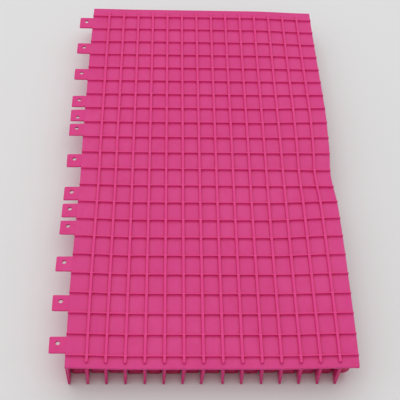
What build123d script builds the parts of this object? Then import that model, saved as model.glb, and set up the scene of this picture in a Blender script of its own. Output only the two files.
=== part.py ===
"""Brush sleeve for the scrubbing roller of a pool-cleaning robot.

The sleeve is moulded flat in soft PVC: a web with a grid of low ribs on the side that
grips the roller, and tall scrubbing blades with cross flaps on the side that sweeps.
It is wrapped round the roller, ribs inward, and closed with tabs along one long edge.

Frame: +X across the web, away from the tabs; +Y along the blades; +Z up.
The sleeve lies flat on its blade tips.  The origin is the centre of the base of its
bounding box, tabs included.

The web bends along a line through the middle of each column of cells, so it is built
as one stave per blade, and the staves meet at those lines.
"""
from build123d import *
import math
import os

# ---------------------------------------------------------------- driving dimensions, mm
PITCH_X = 15.0          # from blade to blade
PITCH_Y = 18.55         # from cross-rib to cross-rib
COLUMNS = 15
ROWS = 21
TAB_EDGE_MARGIN = 1.7   # web beyond the centre plane of the first blade
FAR_MARGIN = 12.4       # plain web beyond the first cross-rib, at the +Y end ...
NEAR_MARGIN = 10.05     # ... and beyond the last one

WEB_T = 2.0
WEB_CORNER_R = 0.5
RIB_H = 2.0             # ribs above the web
LONG_RIB_W = 2.5
LONG_RIB_OVERRUN = 6.4  # long ribs run this far past the end cross-ribs
CROSS_RIB_W = 1.5
RIB_EDGE_R = 0.35

BLADE_H = 27.0          # below the web
BLADE_ROOT_W = 2.9
BLADE_TIP_W = 1.8
BLADE_TIP_R = 0.7
BLADE_END_R = 1.5       # rounding of the blade's lower ends

FLAP_H = 26.2
FLAP_T = 1.5
FLAP_GAP = 0.45         # between a flap and the root of the blade beside it
FLAP_CORNER_R = 2.0
LAST_FLAP_W = 10.6      # the flaps beside the plain long edge are cut short, ...
LAST_FLAP_SLANT = 1.0   # ... lean back towards the blade at the bottom ...
LAST_FLAP_CORNER_R = 5.0   # ... and have a large free corner

TAB_ROWS = (1, 3, 5, 7, 8, 9, 11, 13, 14, 15, 17, 19, 21)   # counted from the +Y end
TAB_LONG = 13.0         # beyond the web's edge; its top is flush with the web's
TAB_WIDE = 14.2
TAB_T = 1.5
TAB_CORNER_R = 0.5
TAB_HOLE_R = 1.75
TAB_HOLE_X = 6.3        # from the web's edge
TAB_HOLE_Y = 0.10       # of the tab's width, towards +Y from its centre line
OFFSET_HOLE_ROW = 8     # this row's hole sits the other way ...
OFFSET_HOLE_Y = -0.20   # ... by this share of the tab's width

FOLD_MAX = 22.4         # degrees at each bend line, when wrapped with the tabs bridging the gap
FOLD_GAP = 0.05         # at the foot of the notch in a cross-rib
TAB_ROOT_GAP = 0.05

# ---------------------------------------------------------------- derived dimensions
WEB_W = COLUMNS * PITCH_X + TAB_EDGE_MARGIN
WEB_L = ROWS * PITCH_Y + FAR_MARGIN + NEAR_MARGIN
EDGE_X = -(WEB_W - TAB_LONG) / 2            # the web's long edge with the tabs
FIRST_X = EDGE_X + TAB_EDGE_MARGIN          # centre plane of the first blade
WEB_TOP = BLADE_H + WEB_T
WEB_BOTTOM = BLADE_H
NOTCH = FOLD_GAP + RIB_H * math.tan(math.radians(FOLD_MAX / 2 + 1.0))


def blade_x(k):
    """Centre plane of blade k, and of long rib k above it."""
    return FIRST_X + k * PITCH_X


def rib_line_y(j):
    """Cross-rib j, from 0 at the +Y end to ROWS at the other."""
    return WEB_L / 2 - FAR_MARGIN - j * PITCH_Y


def row_y(row):
    """Centre of a row of cells, from 1 at the +Y end."""
    return (rib_line_y(row - 1) + rib_line_y(row)) / 2


def along_y(profile, width, y):
    """Extrude a profile drawn in X and Z to a width centred on y."""
    return Pos(0, y, 0) * extrude(Plane.XZ * profile, width / 2, both=True)


# ---------------------------------------------------------------- web with its ribs
def cross_rib(x_low, x_high, notch_low, notch_high):
    """One piece of cross-rib; an end on a bend line slopes back to let the web fold."""
    low, high = (NOTCH if notch_low else 0), (NOTCH if notch_high else 0)
    foot_low = FOLD_GAP if notch_low else 0
    foot_high = FOLD_GAP if notch_high else 0
    outline = Polygon(
        (x_low + foot_low, -WEB_T / 2),
        (x_high - foot_high, -WEB_T / 2),
        (x_high - foot_high, 0),
        (x_high - high, RIB_H),
        (x_low + low, RIB_H),
        (x_low + foot_low, 0),
        align=None,
    )
    rib = along_y(outline, CROSS_RIB_W, 0)
    top = rib.faces().sort_by(Axis.Z)[-1]
    return fillet(top.edges().filter_by(Axis.X), RIB_EDGE_R)


def long_rib():
    length = ROWS * PITCH_Y + 2 * LONG_RIB_OVERRUN
    middle = (rib_line_y(0) + rib_line_y(ROWS)) / 2
    rib = Pos(0, middle, (RIB_H - WEB_T / 2) / 2) * Box(LONG_RIB_W, length, RIB_H + WEB_T / 2)
    rib = fillet(rib.edges().filter_by(Axis.Z), LONG_RIB_W * 0.4)
    return fillet(rib.faces().sort_by(Axis.Z)[-1].edges(), RIB_EDGE_R)


def web_strip(k):
    """The web and ribs of stave k, from one bend line to the next."""
    first, last = k == 0, k == COLUMNS
    x_low = EDGE_X if first else blade_x(k - 0.5)
    x_high = EDGE_X + WEB_W if last else blade_x(k + 0.5)
    middle = (x_low + x_high) / 2
    strip = Pos(middle, 0, -WEB_T / 2) * Box(x_high - x_low, WEB_L, WEB_T)
    if first or last:
        corners = strip.edges().filter_by(Axis.Z).sort_by(Axis.X)
        strip = fillet(corners[:2] if first else corners[-2:], WEB_CORNER_R)
    rib = cross_rib(x_low, x_high, not first, not last)
    ribs = [Pos(0, rib_line_y(j), 0) * rib for j in range(ROWS + 1)]
    if not (first or last):
        ribs.append(Pos(blade_x(k), 0, 0) * long_rib())
    return Pos(0, 0, WEB_TOP) * (strip + ribs)


# ---------------------------------------------------------------- blades and cross flaps
def blade(k):
    root, tip = BLADE_ROOT_W / 2, BLADE_TIP_W / 2
    outline = Polygon((-root, 0), (root, 0), (tip, -BLADE_H), (-tip, -BLADE_H), align=None)
    outline = fillet(outline.vertices().sort_by(Axis.Y)[:2], BLADE_TIP_R)
    body = along_y(outline, WEB_L, 0)
    ends = Plane.YZ * Rectangle(WEB_L, BLADE_H + 2 * BLADE_END_R)
    rounded = extrude(fillet(ends.vertices(), BLADE_END_R), BLADE_ROOT_W, both=True)
    body = body & (Pos(0, 0, BLADE_END_R - BLADE_H / 2) * rounded)
    return Pos(blade_x(k), 0, WEB_BOTTOM) * body


def flap(k):
    """The cross flap between blade k and the next, as one outline in X and Z."""
    x_low = blade_x(k) + BLADE_ROOT_W / 2 + FLAP_GAP
    if k == COLUMNS - 1:
        x_high = x_low + LAST_FLAP_W
        outline = Polygon(
            (x_low, 0), (x_high, 0), (x_high, -FLAP_H * 0.35),
            (x_high - LAST_FLAP_SLANT, -FLAP_H), (x_low, -FLAP_H),
            align=None,
        )
        radius = LAST_FLAP_CORNER_R
    else:
        x_high = blade_x(k + 1) - BLADE_ROOT_W / 2 - FLAP_GAP
        outline = Polygon((x_low, 0), (x_high, 0), (x_high, -FLAP_H), (x_low, -FLAP_H), align=None)
        radius = FLAP_CORNER_R
    outline = fillet(outline.vertices().sort_by(Axis.Y)[:2].sort_by(Axis.X)[-1], radius)
    outline = fillet(outline.vertices().group_by(Axis.Y)[0].sort_by(Axis.X)[0], FLAP_CORNER_R)
    return along_y(outline, FLAP_T, 0)


def flap_column(k):
    """The flaps below every cross-rib, in one column of cells."""
    one = Pos(0, 0, WEB_BOTTOM) * flap(k)
    return Compound(children=[Pos(0, rib_line_y(j), 0) * one for j in range(ROWS + 1)])


# ---------------------------------------------------------------- fastening tabs
def tab(row):
    """A tab with its hole; its root is round, about the line it bends on."""
    half = TAB_T / 2
    hinge_x = -(half + TAB_ROOT_GAP)
    plate = Pos((hinge_x - TAB_LONG) / 2, 0, 0) * Box(TAB_LONG + hinge_x, TAB_WIDE, TAB_T)
    plate = fillet(plate.edges().filter_by(Axis.Z).sort_by(Axis.X)[:2], TAB_CORNER_R)
    root = Pos(hinge_x, 0, 0) * Rot(90, 0, 0) * Cylinder(half, TAB_WIDE)
    share = OFFSET_HOLE_Y if row == OFFSET_HOLE_ROW else TAB_HOLE_Y
    hole = Pos(-TAB_HOLE_X, share * TAB_WIDE, 0) * Cylinder(TAB_HOLE_R, 2 * TAB_T)
    return Pos(EDGE_X, row_y(row), WEB_TOP - half) * (plate + root - hole)


# ---------------------------------------------------------------- write every node
def write(name, shape):
    shape.label = name
    export_step(shape, f"parts/{name}.step")


os.makedirs("parts", exist_ok=True)
for k in range(COLUMNS + 1):
    write(f"web_strip_{k:02d}", web_strip(k))
for k in range(COLUMNS):
    write(f"blade_{k:02d}", blade(k))
    write(f"flaps_{k:02d}", flap_column(k))
for number, row in enumerate(TAB_ROWS, start=1):
    write(f"tab_{number:02d}", tab(row))
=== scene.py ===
import math

import bpy
import numpy as np
from mathutils import Euler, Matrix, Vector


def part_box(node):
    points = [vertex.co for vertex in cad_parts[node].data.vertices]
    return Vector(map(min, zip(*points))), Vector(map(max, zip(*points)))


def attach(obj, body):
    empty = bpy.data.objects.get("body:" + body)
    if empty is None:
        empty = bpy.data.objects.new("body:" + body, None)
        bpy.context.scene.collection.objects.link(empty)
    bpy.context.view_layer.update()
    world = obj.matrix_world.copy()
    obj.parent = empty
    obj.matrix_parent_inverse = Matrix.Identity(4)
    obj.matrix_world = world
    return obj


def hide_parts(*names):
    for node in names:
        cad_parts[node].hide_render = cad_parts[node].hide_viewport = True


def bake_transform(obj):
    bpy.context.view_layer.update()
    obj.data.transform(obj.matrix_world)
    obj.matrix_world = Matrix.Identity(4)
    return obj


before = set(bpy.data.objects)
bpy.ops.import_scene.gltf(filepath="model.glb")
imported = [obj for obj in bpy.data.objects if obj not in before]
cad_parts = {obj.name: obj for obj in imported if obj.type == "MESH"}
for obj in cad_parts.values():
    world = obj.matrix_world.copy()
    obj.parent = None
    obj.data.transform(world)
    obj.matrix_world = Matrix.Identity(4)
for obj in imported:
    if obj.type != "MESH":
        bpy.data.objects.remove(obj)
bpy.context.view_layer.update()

MM = 0.001

# ------------------------------------------------------------ places, read from the frame, and sizes, in mm
def box(node):
    low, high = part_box(node)
    return np.array(low) / MM, np.array(high) / MM


COLUMNS, ROWS = 15, 21
STRIP_LOW, STRIP_HIGH = box("web_strip_00")[0], box("web_strip_15")[1]
EDGE_X, FAR_X = STRIP_LOW[0], STRIP_HIGH[0]
Y_LOW, Y_HIGH = STRIP_LOW[1], STRIP_HIGH[1]
RIB_TOP = box("web_strip_00")[1][2]
WEB_TOP = box("tab_01")[1][2]
WEB_BOTTOM = box("blade_00")[1][2]
BLADE_X = [(box(f"blade_{k:02d}")[0][0] + box(f"blade_{k:02d}")[1][0]) / 2 for k in range(COLUMNS)]
PITCH_X = (BLADE_X[-1] - BLADE_X[0]) / (COLUMNS - 1)
BLADE_X.append(BLADE_X[-1] + PITCH_X)
FLAP_LOW, FLAP_HIGH = box("flaps_00")
FLAP_T = 1.5
PITCH_Y = (FLAP_HIGH[1] - FLAP_LOW[1] - FLAP_T) / ROWS
RIB_Y = [FLAP_HIGH[1] - FLAP_T / 2 - j * PITCH_Y for j in range(ROWS + 1)]
RIB_H = RIB_TOP - WEB_TOP
LONG_W, CROSS_W = 2.5, 1.5      # widths of the long and the cross ribs
OVERRUN = 6.4           # the long ribs run this far past the end cross-ribs
CORNER_R = 0.5          # the web's corners, seen from above
EDGE_R = 0.4            # the web's top edges
BLADE_TIP_HALF = 0.9
BLADE_END_R = 1.5       # the blades' lower ends
BLADE_SINK = 0.35       # how deep a blade is set into the web
FLAP_ROOT = 1.4         # how deep a flap is set into the web, so that it stays in when the web curls
FLAP_R, LAST_FLAP_R = 2.0, 5.0  # the flaps' lower corners, and the free one beside the plain edge
LAST_FLAP_SLANT = 1.0   # the last flap leans back by this much at the bottom ...
LAST_FLAP_STRAIGHT = 9.2        # ... from this far below the web
LAST_BLADE_ROOM = 0.3   # taken off the flaps beside the last blade, which they touched when folded
FLAP_INSET = 0.28       # the flaps' edges are bevelled by this much
FLAP_TAPER = 0.22       # share of its thickness that a flap loses towards the bottom
TAB_HOLE_R, TAB_HOLE_X = 1.75, 6.3      # the hole's radius and distance from the web's edge
TAB_HOLE_Y = 0.10       # its place across the tab, as a share of the tab's width ...
ODD_TAB, ODD_HOLE_Y = 5, -0.20          # ... except on this tab
TAB_SINK = 0.45         # how far a tab reaches into the web
TAB_CORNER_R = 0.5
random = np.random.default_rng(7)


# ------------------------------------------------------------ the soft sheet's unevenness, in mm
# How far the sheet stands above its flat place along its length, from the +Y end:
# through its middle, and along the tab edge and the plain edge.
STATIONS = np.array([0, 1, 2, 4, 6, 8, 10, 12, 14, 16, 18, 20, 22, 22.6])
MIDDLE = np.array([0.5, 0.5, 0.1, -0.4, 0.2, 0.9, 1.0, -0.3, -1.3, -1.3, -1.0, -1.0, -1.1, -1.5])
TAB_SIDE = np.array([1.0, 0.6, -0.3, -0.4, 0.1, 0.9, 1.5, 0.7, 0.5, 1.4, 1.5, 1.1, 1.1, 0.9])
PLAIN_SIDE = np.array([-1.4, -1.8, -1.9, -1.2, 0.9, 2.8, 2.1, -0.7, 2.8, 2.8, 1.6, 1.6, 1.5, 1.3])
# How far each long edge runs out of line, outward, by row.
TAB_EDGE = (np.array([0, 2, 4, 6.5, 10, 12, 14, 18, 22]),
            np.array([0.0, 0.4, 0.7, 0.45, 0.0, -0.6, -0.3, 0.1, -1.0]))
PLAIN_EDGE = (np.array([0, 1, 3, 4.5, 6.7, 8.4, 9.2, 10, 10.8, 11.6, 12.3, 13, 15, 20, 21.6, 22.5]),
              np.array([-.3, -.1, .45, .8, 1.0, .75, .3, 0, -.8, -1.7, -1.2, -.3, .3, .4, -.2, -.8]))


def smooth_curve(s, at, values):
    """Piecewise cubic through the values, with matching slopes, so that the sheet has no creases."""
    slopes = np.gradient(values, at)
    i = np.clip(np.searchsorted(at, s) - 1, 0, len(at) - 2)
    h = at[i + 1] - at[i]
    t = np.clip((s - at[i]) / h, 0, 1)
    return ((2 * t**3 - 3 * t**2 + 1) * values[i] + (t**3 - 2 * t**2 + t) * h * slopes[i]
            + (3 * t**2 - 2 * t**3) * values[i + 1] + (t**3 - t**2) * h * slopes[i + 1])


def ease(t):
    t = np.clip(t, 0, 1)
    return t * t * (3 - 2 * t)


def relax(co):
    """Moves points of the flat model to where the uneven sheet lies; the floor end stays put."""
    co = np.array(co, float)
    s = (RIB_Y[0] - co[:, 1]) / PITCH_Y + 0.5
    s = np.clip(s, 0, 22.6)
    across = (co[:, 0] - EDGE_X) / (FAR_X - EDGE_X)
    left = ease(1 - across / 0.22)
    right = ease((across - 0.72) / 0.28)
    middle = smooth_curve(s, STATIONS, MIDDLE)
    dz = (middle * (1 - left - right) + smooth_curve(s, STATIONS, TAB_SIDE) * left
          + smooth_curve(s, STATIONS, PLAIN_SIDE) * right)
    dx = (smooth_curve(s, *PLAIN_EDGE) * ease((across - 0.8) / 0.2)
          - smooth_curve(s, *TAB_EDGE) * ease(1 - across / 0.2))
    share = np.clip(co[:, 2] / WEB_BOTTOM, 0, 1)
    co[:, 0] += dx * share
    co[:, 2] += dz * share
    return co


# ------------------------------------------------------------ materials
def linear(*rgb):
    c = np.array(rgb, float) / 255
    return (*np.where(c <= 0.04045, c / 12.92, ((c + 0.055) / 1.055) ** 2.4), 1.0)


def pvc(name, base, deep, worn, rough, seed, grain=0.5, painted_highlight=None):
    """Soft moulded PVC: mottled colour, painted shade deepening it in corners and crevices, and a painted
    highlight lightening the rib tops.
    """
    m = bpy.data.materials.new(name)
    m.use_nodes = True
    nodes, links = m.node_tree.nodes, m.node_tree.links
    shader = nodes["Principled BSDF"]

    def node(kind, **inputs):
        n = nodes.new(kind)
        for key, value in inputs.items():
            n.inputs[key.replace("_", " ")].default_value = value
        return n

    def mix(a, b, factor):
        n = nodes.new("ShaderNodeMix")
        n.data_type = "RGBA"
        for socket, value in ((n.inputs[6], a), (n.inputs[7], b), (n.inputs[0], factor)):
            if isinstance(value, (tuple, float)):
                socket.default_value = value
            else:
                links.new(value, socket)
        return n.outputs[2]

    def ramp(source, low, high, out_low=0.0, out_high=1.0):
        n = nodes.new("ShaderNodeMapRange")
        n.interpolation_type = "SMOOTHSTEP"
        links.new(source, n.inputs[0])
        for i, value in enumerate((low, high, out_low, out_high), start=1):
            n.inputs[i].default_value = value
        return n.outputs[0]

    where = nodes.new("ShaderNodeTexCoord").outputs["Object"]
    shift = nodes.new("ShaderNodeMapping")
    shift.inputs["Location"].default_value = (seed * 0.37, seed * 0.21, seed * 0.11)
    links.new(where, shift.inputs["Vector"])
    where = shift.outputs[0]

    def noise(scale, detail, roughness=0.5):
        n = node("ShaderNodeTexNoise", Scale=scale, Detail=detail, Roughness=roughness)
        links.new(where, n.inputs["Vector"])
        return n.outputs[0]

    cloud, patch, fine = noise(14, 3), noise(95, 4, 0.6), noise(2600, 2)
    colour = mix(base, worn, ramp(cloud, 0.42, 0.68, 0.0, 0.34))
    colour = mix(colour, deep, ramp(patch, 0.50, 0.72, 0.0, 0.16))
    # Painted highlight: the rib tops are mixed toward a lighter colour by their height above the web.
    if painted_highlight:
        height = nodes.new("ShaderNodeAttribute")
        height.attribute_name = "rib"
        colour = mix(colour, painted_highlight, height.outputs["Fac"])
    # Painted shade: the colour is deepened where the AO node finds nearby surfaces, in corners and in
    # crevices beside the ribs.
    corner = node("ShaderNodeAmbientOcclusion", Distance=0.0035)
    corner.samples = 12
    colour = mix(colour, deep, ramp(corner.outputs["AO"], 0.30, 0.92, 0.92, 0.0))
    links.new(colour, shader.inputs["Base Color"])

    scuff = node("ShaderNodeTexNoise", Scale=210, Detail=5, Roughness=0.7)
    stretch = nodes.new("ShaderNodeMapping")
    stretch.inputs["Scale"].default_value = (1.0, 0.22, 1.0)
    links.new(where, stretch.inputs["Vector"])
    links.new(stretch.outputs[0], scuff.inputs["Vector"])
    links.new(ramp(scuff.outputs[0], 0.35, 0.72, rough - 0.07, rough + 0.12), shader.inputs["Roughness"])

    bump = node("ShaderNodeBump", Strength=grain, Distance=0.00006)
    links.new(fine, bump.inputs["Height"])
    soft = node("ShaderNodeBump", Strength=0.55, Distance=0.0006)
    links.new(patch, soft.inputs["Height"])
    links.new(bump.outputs[0], soft.inputs["Normal"])
    links.new(soft.outputs[0], shader.inputs["Normal"])
    shader.inputs["Specular IOR Level"].default_value = 0.36
    shader.inputs["Subsurface Weight"].default_value = 0.12
    shader.inputs["Subsurface Radius"].default_value = (1.0, 0.25, 0.4)
    shader.inputs["Subsurface Scale"].default_value = 0.0018
    return m


# The deep colour serves both the random darker patches and the painted shade in corners and crevices.
BASE, DEEP_TONE_AND_SHADE, WORN = linear(217, 51, 133), linear(200, 1, 74), linear(226, 68, 145)
# The ridge colour is a painted highlight for the rib tops.
PAINTED_RIB_HIGHLIGHT = linear(228, 54, 135)
WEB = pvc("pvc_web", BASE, DEEP_TONE_AND_SHADE, WORN, 0.40, 1, painted_highlight=PAINTED_RIB_HIGHLIGHT)
BLADE = pvc("pvc_blade", linear(216, 36, 122), DEEP_TONE_AND_SHADE, WORN, 0.44, 2)
# The flaps' colour is darker than the web's: painted shade for the shade beneath the web's near edge.
FLAP_SHADED = pvc("pvc_flap_shaded", linear(198, 14, 94), DEEP_TONE_AND_SHADE, WORN, 0.46, 3)
# The tab holes' walls get a darker material: painted shade inside the holes.
HOLE_SHADED = pvc("pvc_tab_hole_shaded", linear(140, 14, 62), linear(96, 4, 40), linear(150, 20, 70), 0.5, 5)
TAB = pvc("pvc_tab", linear(219, 47, 131), DEEP_TONE_AND_SHADE, WORN, 0.40, 4)


# ------------------------------------------------------------ mesh helpers
def mesh(name, vertices, faces, material, sharp=None):
    data = bpy.data.meshes.new(name)
    data.from_pydata((relax(vertices) * MM).tolist(), [], faces)
    data.validate()
    data.materials.append(material)
    data.polygons.foreach_set("use_smooth", [True] * len(data.polygons))
    if sharp is not None:
        pairs = np.empty(2 * len(data.edges), int)
        data.edges.foreach_get("vertices", pairs)
        pairs = pairs.reshape(-1, 2)
        marks = sharp[pairs[:, 0]] & sharp[pairs[:, 1]]
        data.attributes.new("sharp_edge", "BOOLEAN", "EDGE").data.foreach_set("value", marks)
    piece = bpy.data.objects.new(name, data)
    bpy.context.scene.collection.objects.link(piece)
    return piece


def strip_of_quads(a, b):
    """Quads between two closed rings of the same length."""
    n = len(a)
    return [(a[i], a[(i + 1) % n], b[(i + 1) % n], b[i]) for i in range(n)]


def rim(distance, radius):
    """How far a rounded edge falls below the flat, at a distance from the side."""
    d = np.clip(distance, 0, radius)
    return radius - np.sqrt(np.maximum(radius**2 - (radius - d) ** 2, 0))


# ------------------------------------------------------------ web: one piece per column of cells
def cross_stations():
    ys = [Y_HIGH, Y_HIGH - 0.06, Y_HIGH - 0.16, Y_HIGH - 0.4, Y_HIGH - 2]
    ys += [Y_LOW, Y_LOW + 0.06, Y_LOW + 0.16, Y_LOW + 0.4, Y_LOW + 2]
    near = [0, 0.38, 0.52, 0.64, 0.74, 0.84, 0.95, 1.4]      # across half a cross-rib
    for y in RIB_Y:
        ys += [y + d for d in near] + [y - d for d in near[1:]]
    for a, b in zip(RIB_Y[:-1], RIB_Y[1:]):
        ys += list(np.linspace(a - 1.4, b + 1.4, 5)[1:-1])
    for end, way in ((RIB_Y[0], 1), (RIB_Y[-1], -1)):
        ys += [end + way * d for d in (3.2, 4.8, 5.2, 5.5, 5.8, 6.0, 6.2, 6.35, 6.5, 6.9, 8.2)]
    ys = np.unique(np.round(ys, 4))
    return ys[(ys >= Y_LOW) & (ys <= Y_HIGH)]


def rib_profile(distance, half):
    """Rounded top, drafted side and a small fillet at the foot."""
    return RIB_H * (1 - ease((distance - (half - 0.28)) / 0.46))


def web_column(k):
    first, last = k == 0, k == COLUMNS - 1
    x_low = EDGE_X if first else BLADE_X[k]
    x_high = FAR_X if last else BLADE_X[k + 1]
    rib = [0, 0.55, 0.84, 0.97, 1.08, 1.18, 1.3, 1.46, 1.9]
    edge = [0, 0.06, 0.16, 0.4, 1.2]
    xs = [x_low + d for d in (edge if first else rib)]
    xs += [x_high - d for d in (edge if last else rib)]
    xs = np.unique(np.round(xs + list(np.linspace(x_low + 2, x_high - 2, 7)), 4))
    ys = cross_stations()
    gx, gy = np.meshgrid(xs, ys, indexing="ij")

    height = np.zeros_like(gx)
    reach = np.abs(gy[..., None] - np.array(RIB_Y)).min(-1)
    height = np.maximum(height, rib_profile(reach, CROSS_W / 2))
    middle, half = (RIB_Y[0] + RIB_Y[-1]) / 2, (RIB_Y[0] - RIB_Y[-1]) / 2 + OVERRUN
    beyond = np.maximum(np.abs(gy - middle) - (half - LONG_W / 2), 0)
    for side, there in ((k, not first), (k + 1, not last)):
        if there:
            distance = np.hypot(gx - BLADE_X[side], beyond)
            height = np.maximum(height, rib_profile(distance, LONG_W / 2))
    ends = np.minimum(gy - Y_LOW, Y_HIGH - gy)
    fall = rim(ends, EDGE_R)
    if first:
        fall = np.maximum(fall, rim(gx - x_low, EDGE_R))
    if last:
        fall = np.maximum(fall, rim(x_high - gx, EDGE_R))
    top = WEB_TOP + height - fall
    bottom = WEB_BOTTOM + fall * 0.5

    corner = rim(ends, CORNER_R)
    if first:
        gx = gx + corner * ease(1 - (gx - x_low) / 5)
    if last:
        gx = gx - corner * ease(1 - (x_high - gx) / 5)

    nx, ny = gx.shape
    count = nx * ny
    verts = np.concatenate([np.stack([gx, gy, z], -1).reshape(-1, 3) for z in (top, bottom)])
    index = np.arange(count).reshape(nx, ny)
    a, b, c, d = index[:-1, :-1], index[1:, :-1], index[1:, 1:], index[:-1, 1:]
    quads = np.stack([a, b, c, d], -1).reshape(-1, 4)
    faces = quads.tolist() + (quads[:, ::-1] + count).tolist()
    for line in (index[:, 0], index[-1, :], index[::-1, -1], index[0, ::-1]):
        p, q = line[:-1], line[1:]
        faces += np.stack([p, p + count, q + count, q], -1).tolist()
    seam = np.zeros(2 * count, bool)
    for row, there in ((0, not first), (-1, not last)):
        if there:
            seam[index[row]] = True
            seam[index[row] + count] = True
    piece = mesh(f"web_column_{k:02d}", verts, faces, WEB, seam)
    # The rib height share drives the painted highlight on the rib tops.
    share = np.concatenate([(height / RIB_H).ravel(), np.zeros(count)])
    piece.data.attributes.new("rib", "FLOAT", "POINT").data.foreach_set("value", share)
    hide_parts(f"web_strip_{k:02d}", f"web_strip_{k + 1:02d}")
    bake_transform(piece)


# ------------------------------------------------------------ scrubbing blades
# Sideways lean of each blade's tip at the end towards -Y; it dies out along the blade.
LEAN = [0.3, -0.1, -0.3, -0.9, -0.4, -1.0, -1.2, -0.9, 1.2, 0.8, 0.9, 0.8, 1.2, 0.5, -0.6]
WAVES = [(random.uniform(0.5, 1.5, 3), random.uniform(0, 6.28, 3)) for _ in LEAN]


def tip_sway(k, y):
    """Sideways offset of blade k's tip at y, in mm."""
    wave = sum(0.16 * a * math.sin(y / (17 + 11 * i) + p) for i, (a, p) in enumerate(zip(*WAVES[k])))
    if k == 0:
        wave *= 0.5     # steadier, beside the tabs
    return LEAN[k] * math.exp(-(y - Y_LOW) / 45) + wave


def sway_share(depth, tall):
    """How much of the tip's offset a point at that depth below the web has."""
    return np.clip(depth / tall, 0, 1) ** 1.6


def blade(k):
    low, high = box(f"blade_{k:02d}")
    root, tip = (high[0] - low[0]) / 2, BLADE_TIP_HALF
    tall = high[2] - low[2]
    depth = np.array([-BLADE_SINK, 0, 0.25, 0.6, 3, 8, 14, 20,
                      tall - 1.3, tall - 0.7, tall - 0.28, tall - 0.06, tall])
    width = np.array([root + 0.24, root + 0.20, root + 0.06, root,        # the fillet at the root
                      *np.interp(depth[4:9], [0, tall], [root, tip]),
                      tip, tip * 0.80, tip * 0.45, 0.12])                 # the rounded tip
    outer = np.minimum(width, root) if k == 0 else width     # blade 0 is flush with the web's side
    ring_x = np.concatenate([-outer, width[::-1]])
    ring_d = np.concatenate([depth, depth[::-1]])
    ys = np.concatenate([low[1] + np.array([0, 0.08, 0.25, 0.6, 1.1, 1.6]),
                         np.linspace(low[1] + 5, high[1] - 5, 84),
                         high[1] - np.array([1.6, 1.1, 0.6, 0.25, 0.08, 0])])
    rows = []
    for y in ys:
        e = min(y - low[1], high[1] - y)
        lift = rim(e, BLADE_END_R)
        narrow = 1 - 0.30 * (1 - ease(e / 0.35))
        drop = np.minimum(ring_d, tall - lift)
        sway = tip_sway(k, y) * sway_share(drop, tall)
        x = BLADE_X[k] + ring_x * narrow + sway
        rows.append(np.stack([x, np.full(len(ring_x), y), high[2] - drop], -1))
    n = len(ring_x)
    faces = []
    for i in range(len(ys) - 1):
        faces += strip_of_quads(range((i + 1) * n, (i + 2) * n), range(i * n, (i + 1) * n))
    faces += [tuple(range(n - 1, -1, -1)), tuple(range((len(ys) - 1) * n, len(ys) * n))]
    piece = mesh(f"scrub_blade_{k:02d}", np.concatenate(rows), faces, BLADE)
    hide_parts(f"blade_{k:02d}")
    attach(piece, f"stave_{k:02d}")


# ------------------------------------------------------------ cross flaps
def flap_outline(k):
    low, high = box(f"flaps_{k:02d}")
    top, bottom = high[2] + FLAP_ROOT, low[2]
    if k == COLUMNS - 1:
        low[0] += LAST_BLADE_ROOM
    elif k == COLUMNS - 2:
        high[0] -= LAST_BLADE_ROOM
    points = [(low[0], top), (high[0], top)]
    if k == COLUMNS - 1:
        points += [(high[0], high[2] - LAST_FLAP_STRAIGHT)]
        corners = ((high[0] - LAST_FLAP_SLANT - LAST_FLAP_R, 0, LAST_FLAP_R), (low[0] + FLAP_R, 1, FLAP_R))
    else:
        corners = ((high[0] - FLAP_R, 0, FLAP_R), (low[0] + FLAP_R, 1, FLAP_R))
    for x, which, radius in corners:
        for step in np.linspace(0, 90, 7):
            angle = math.radians(-step if which == 0 else -90 - step)
            points.append((x + radius * math.cos(angle), bottom + radius + radius * math.sin(angle)))
    return np.array(points)


def flap_column(k):
    outline = flap_outline(k)
    centre = outline.mean(0)
    n, verts, faces = len(outline), [], []
    low, high = box(f"flaps_{k:02d}")
    for j, y in enumerate(RIB_Y):
        lean, curl = random.uniform(-0.5, 0.5), random.uniform(-0.3, 0.3)
        near = tip_sway(k, y)
        far = near if k == COLUMNS - 1 else tip_sway(k + 1, y)
        start = len(verts)
        for inset, side in ((FLAP_INSET, -1), (0.0, -0.62), (0.0, 0.62), (FLAP_INSET, 1)):
            for x, z in outline:
                way = centre - (x, z)
                x2, z2 = np.array((x, z)) + way / np.linalg.norm(way) * inset
                t = np.clip((high[2] - z2) / (high[2] - low[2]), 0, 1)
                thick = FLAP_T / 2 * (1 - FLAP_TAPER * t)
                bow = curl * (1 - ((x2 - centre[0]) / 6) ** 2)
                across = np.clip((x2 - BLADE_X[k]) / PITCH_X, 0, 1)
                sway = (near + (far - near) * across) * sway_share(high[2] - z2, high[2])
                verts.append((x2 + sway, y + side * thick + (lean + bow) * t * t, z2))
        for r in range(3):
            faces += strip_of_quads(range(start + r * n, start + (r + 1) * n),
                                    range(start + (r + 1) * n, start + (r + 2) * n))
        faces += [tuple(range(start + n - 1, start - 1, -1)), tuple(range(start + 3 * n, start + 4 * n))]
    piece = mesh(f"cross_flaps_{k:02d}", np.array(verts), faces, FLAP_SHADED)
    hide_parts(f"flaps_{k:02d}")
    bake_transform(piece)


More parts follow.
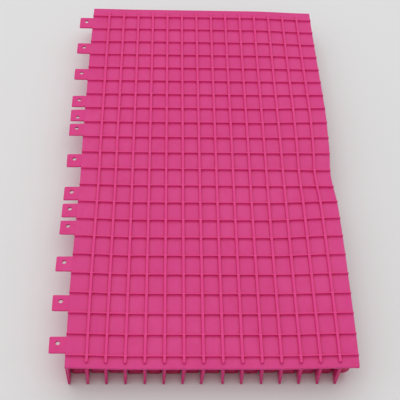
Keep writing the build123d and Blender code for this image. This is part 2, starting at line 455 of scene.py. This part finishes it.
# ------------------------------------------------------------ fastening tabs
def tab(number):
    low, high = box(f"tab_{number:02d}")
    middle = (low[1] + high[1]) / 2
    share = ODD_HOLE_Y if number == ODD_TAB else TAB_HOLE_Y
    hole = np.array([EDGE_X - TAB_HOLE_X, middle + share * (high[1] - low[1])])
    root = EDGE_X + TAB_SINK
    n = 48
    ring, outer = [], []
    for i in range(n):
        angle = 2 * math.pi * i / n
        way = np.array([math.cos(angle), math.sin(angle)])
        ring.append(hole + TAB_HOLE_R * way)
        reach = []
        for axis, a, b in ((0, low[0], root), (1, low[1], high[1])):
            if abs(way[axis]) > 1e-9:
                reach.append(((b if way[axis] > 0 else a) - hole[axis]) / way[axis])
        outer.append(hole + min(reach) * way)
    ring, outer = np.array(ring), np.array(outer)
    for corner in ((low[0], low[1]), (low[0], high[1]), (root, low[1]), (root, high[1])):
        outer[np.argmin(np.hypot(*(outer - corner).T))] = corner
    for corner in ((low[0], low[1]), (low[0], high[1])):
        i = int(np.argmin(np.hypot(*(outer - corner).T)))
        outer[i] += (np.array([low[0] + TAB_CORNER_R, middle]) - outer[i]) / 18
    shares = np.array([0, 0.02, 0.06, 0.2, 0.36, 0.52, 0.68, 0.84, 0.95, 0.985, 1.0])
    drops = np.array([0.10, 0.03, 0, 0, 0, 0, 0, 0, 0, 0.06, 0.25])
    bend = random.uniform(-0.5, 0.6)
    verts, faces, rings = [], [], []
    levels = [(s, high[2] - 0.05 - d) for s, d in zip(shares, drops)]
    levels += [(s, low[2] + d) for s, d in list(zip(shares, drops))[::-1]]
    for s, z in levels:
        rings.append(range(len(verts), len(verts) + n))
        for p in ring * (1 - s) + outer * s:
            away = max((EDGE_X - p[0]) / 13, 0)        # 0 at the web, 1 at the tab's free end
            verts.append((p[0], p[1], z + bend * away * away))
    for a, b in zip(rings, rings[1:] + rings[:1]):
        faces += strip_of_quads(a, b)
    faces = [f[::-1] for f in faces]
    piece = mesh(f"fastening_tab_piece_{number:02d}", np.array(verts), faces, TAB)
    # Painted shade: the faces of the hole's wall take the darker hole material.
    piece.data.materials.append(HOLE_SHADED)
    for face in piece.data.polygons:
        away = np.hypot(*(np.array(face.center)[:2] / MM - hole))
        if away < TAB_HOLE_R + 0.12 and abs(face.normal.z) < 0.8:
            face.material_index = 1
    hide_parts(f"tab_{number:02d}")
    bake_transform(piece)


for k in range(COLUMNS):
    web_column(k)
    blade(k)
    flap_column(k)
for number in range(1, 14):
    tab(number)


# ------------------------------------------------------------ floor, light and camera
def plain(name, colour, rough):
    m = bpy.data.materials.new(name)
    m.use_nodes = True
    nodes, links = m.node_tree.nodes, m.node_tree.links
    shader = nodes["Principled BSDF"]
    cloud = nodes.new("ShaderNodeTexNoise")
    cloud.inputs["Scale"].default_value = 6
    blend = nodes.new("ShaderNodeMix")
    blend.data_type = "RGBA"
    links.new(cloud.outputs[0], blend.inputs[0])
    blend.inputs[6].default_value = colour
    blend.inputs[7].default_value = tuple(c * 0.985 for c in colour[:3]) + (1,)
    links.new(blend.outputs[2], shader.inputs["Base Color"])
    shader.inputs["Roughness"].default_value = rough
    shader.inputs["Specular IOR Level"].default_value = 0.1
    return m


floor_data = bpy.data.meshes.new("floor")
far = 9         # metres
floor_data.from_pydata([(-far, -far, 0), (far, -far, 0), (far, far, 0), (-far, far, 0)], [], [(0, 1, 2, 3)])
floor = bpy.data.objects.new("floor", floor_data)
floor_data.materials.append(plain("floor_pale", (0.80, 0.80, 0.80, 1), 0.9))
bpy.context.scene.collection.objects.link(floor)

bpy.context.scene.view_settings.view_transform = "Standard"

world = bpy.data.worlds.new("studio")
world.use_nodes = True
world.node_tree.nodes["Background"].inputs[0].default_value = (1, 1, 1, 1)
world.node_tree.nodes["Background"].inputs[1].default_value = 0.58
bpy.context.scene.world = world


def lamp(name, place, turn, size, power):
    data = bpy.data.lights.new(name, "AREA")
    data.shape, data.size, data.size_y, data.energy = "RECTANGLE", size[0], size[1], power
    light = bpy.data.objects.new(name, data)
    light.location, light.rotation_euler = place, Euler([math.radians(a) for a in turn])
    bpy.context.scene.collection.objects.link(light)


lamp("key", (0.12, 1.0, 1.35), (-36, 5, 0), (2.6, 0.8), 6.4)
lamp("overhead", (0, -0.15, 1.7), (0, 0, 0), (1.6, 1.6), 6.3)
lamp("fill", (-1.3, -0.3, 1.1), (10, -49.8, 0), (1.2, 1.2), 1.8)

camera_data = bpy.data.cameras.new("camera")
camera_data.lens, camera_data.sensor_width = 77.825, 36
camera = bpy.data.objects.new("camera", camera_data)
camera.location = (-0.02824, -0.50478, 0.62911)
camera.rotation_euler = Euler([math.radians(a) for a in (37.4864, -1.9116, -0.9776)], "XYZ")
bpy.context.scene.collection.objects.link(camera)
bpy.context.scene.camera = camera
